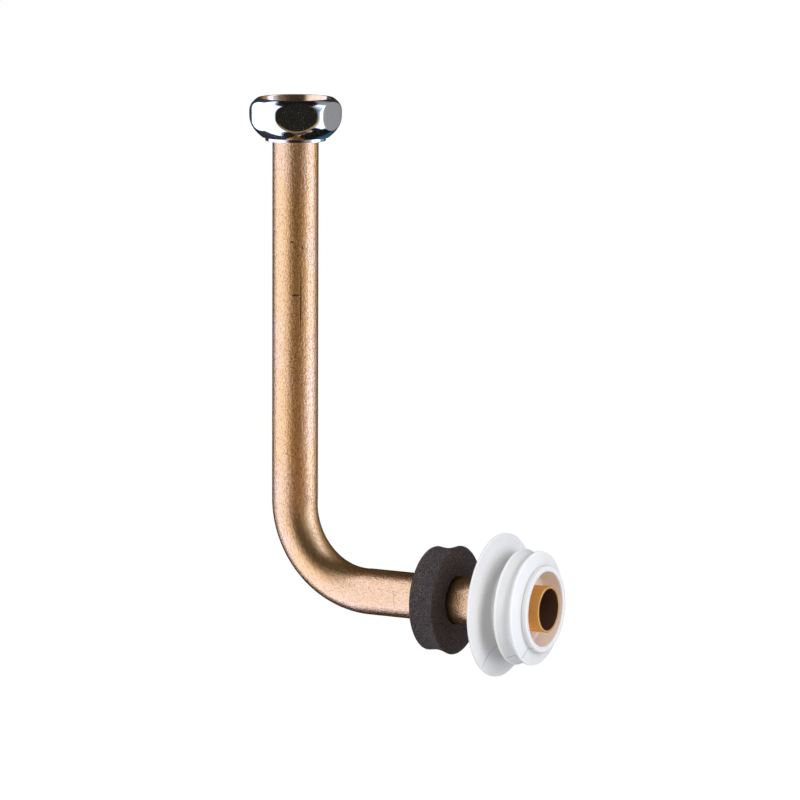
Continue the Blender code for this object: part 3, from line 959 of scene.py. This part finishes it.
def studio_glow(turn, elevation):
    """Colours that the object's reflections see, by turn from the camera and elevation in degrees."""
    leaned = np.where(turn < 0, np.minimum(turn + 0.24 * np.maximum(elevation, 0), 0), turn)
    stops = np.array(EYE_LEVEL_GLOW)
    colour = np.stack([np.interp(leaned, stops[:, 0], stops[:, k]) for k in (1, 2, 3)], -1)
    lowest = np.where(turn < 0, -62, np.interp(turn, (0, 100, 112), (-40, -40, -18)))
    seen = window(elevation, lowest, 57, 7)
    seen *= 1 - 0.68 * window(turn, 30, 84, 8) * window(elevation, 26, 91, 24)
    colour *= seen[:, None]
    cool = window(turn, 22, 62, 6) * window(elevation, -3, 91, 3)
    colour *= 1 + cool[:, None] * COOLING
    ahead = window(turn, -34, 36, 10)
    core = window(turn, -40, 36, 5) * window(elevation, -6, 91, 4)
    core = np.maximum(core, window(turn, -40, 36, 8) * window(elevation, 12, 91, 8))
    beneath = window(elevation, -91, -46, 10)
    low_blue = window(turn, 153, 181, 9) * window(elevation, -46, -25, 7)
    colour += (ahead * (1 - core) * (1 - beneath))[:, None] * AHEAD_GLOW
    colour += (ahead * beneath)[:, None] * BENEATH_GLOW
    colour += core[:, None] * CORE_GLOW
    colour += low_blue[:, None] * LOW_BLUE_GLOW
    return colour + LEAST_GLOW


def make_surround():
    """A glowing dome that only reflections see: a bright room with dark gaps ahead, behind and above."""
    turns, lifts = 240, 100
    turn = np.linspace(-180, 180, turns + 1)
    lift = np.linspace(-89.5, 89.5, lifts + 1)
    grid_turn, grid_lift = (grid.ravel() for grid in np.meshgrid(turn, lift))
    points = []
    for point_turn, point_lift in zip(grid_turn, grid_lift):
        points.append(STUDIO_CENTRE + studio_direction(point_turn, point_lift) * SURROUND_RADIUS)
    faces = []
    for row in range(lifts):
        for column in range(turns):
            start = row * (turns + 1) + column
            faces.append((start, start + 1, start + turns + 2, start + turns + 1))
    mesh = bpy.data.meshes.new("studio_surround")
    mesh.from_pydata([tuple(point) for point in points], [], faces)
    colours = np.concatenate([studio_glow(grid_turn, grid_lift), np.ones((len(grid_turn), 1))], 1)
    layer = mesh.color_attributes.new("glow", "FLOAT_COLOR", "POINT")
    layer.data.foreach_set("color", colours.astype(np.float32).ravel())
    surround = bpy.data.objects.new("studio_surround", mesh)
    bpy.context.scene.collection.objects.link(surround)
    material, tree, shader = new_material("studio_surround")
    tree.nodes.remove(shader)
    pattern = add_node(tree, "ShaderNodeAttribute", attribute_name="glow")
    glow = add_node(tree, "ShaderNodeEmission", {"Color": pattern.outputs["Color"], "Strength": 1.0})
    tree.links.new(glow.outputs[0], tree.nodes["Material Output"].inputs["Surface"])
    mesh.materials.append(material)
    surround.visible_camera = False
    surround.visible_diffuse = False
    surround.visible_shadow = False
    surround.visible_transmission = False


def background_rays(tree):
    """1 for the rays that see the studio's white background: camera, glossy and transmission rays."""
    path = add_node(tree, "ShaderNodeLightPath")
    seen = arithmetic(tree, "MAXIMUM", path.outputs["Is Camera Ray"], path.outputs["Is Glossy Ray"])
    return arithmetic(tree, "MAXIMUM", seen, path.outputs["Is Transmission Ray"])


def make_floor():
    """The pale floor, which takes the object's shadow and shows otherwise as white."""
    half = FLOOR_SIZE / 2
    mesh = bpy.data.meshes.new("floor")
    corners = [(x * half, y * half, FLOOR_HEIGHT) for x, y in ((-1, -1), (1, -1), (1, 1), (-1, 1))]
    mesh.from_pydata(corners, [], [(0, 1, 2, 3)])
    floor = bpy.data.objects.new("floor", mesh)
    bpy.context.scene.collection.objects.link(floor)
    material, tree, shader = new_material("pale_floor")
    shader.inputs["Base Color"].default_value = FLOOR_GREY
    shader.inputs["Roughness"].default_value = 0.9
    shader.inputs["Specular IOR Level"].default_value = 0.0
    white = add_node(tree, "ShaderNodeEmission", {"Color": WHITE, "Strength": FLOOR_WHITENESS})
    share = product(tree, background_rays(tree), FLOOR_WHITE_SHARE)
    mixed = add_node(tree, "ShaderNodeMixShader", {0: share, 1: shader.outputs[0], 2: white.outputs[0]})
    tree.links.new(mixed.outputs[0], tree.nodes["Material Output"].inputs["Surface"])
    mesh.materials.append(material)
    floor.visible_glossy = False


def make_world():
    """An even room light, seen as white by the rays that see the background."""
    world = bpy.data.worlds.new("studio")
    bpy.context.scene.world = world
    world.use_nodes = True
    tree = world.node_tree
    room = tree.nodes["Background"]
    room.inputs["Color"].default_value = ROOM_COLOUR
    room.inputs["Strength"].default_value = ROOM_STRENGTH
    white = add_node(tree, "ShaderNodeBackground", {"Color": WHITE, "Strength": 1.0})
    shaders = {0: background_rays(tree), 1: room.outputs[0], 2: white.outputs[0]}
    mixed = add_node(tree, "ShaderNodeMixShader", shaders)
    tree.links.new(mixed.outputs[0], tree.nodes["World Output"].inputs["Surface"])


def make_studio():
    """World, floor, surround and two soft lights, the key to the camera's right."""
    make_world()
    make_floor()
    make_surround()
    make_softbox("key_softbox", turn=48, elevation=22, distance=1.3, width=0.6, height=0.9, radiance=5.6)
    make_softbox("left_softbox", turn=-45, elevation=25, distance=1.4, width=0.8, height=1.1, radiance=1.5)
    bpy.context.scene.view_settings.view_transform = "Standard"


# Assembly


def dress(piece, material, body, node):
    """Gives a piece its material and the body it moves with, and hides the imported solid it stands for."""
    piece.data.materials.append(material)
    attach(piece, body)
    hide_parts(node)


def main():
    dress(make_pipe(), copper_material(), "pipe", "flush_pipe")
    dress(make_gasket(), gasket_material(), "pipe", "seat_gasket")
    nut, first_brass_face = make_nut()
    dress(nut, chrome_material(), "nut", "union_nut")
    nut.data.materials.append(brass_material())
    for polygon in nut.data.polygons[first_brass_face:]:
        polygon.material_index = 1
    foam = make_foam_ring()
    dress(foam, foam_material(), "foam", "foam_ring")
    dress(make_cuff(), cuff_material(), "cuff", "inlet_cuff")
    make_studio()
    make_camera()


main()
bpy.context.view_layer.update()
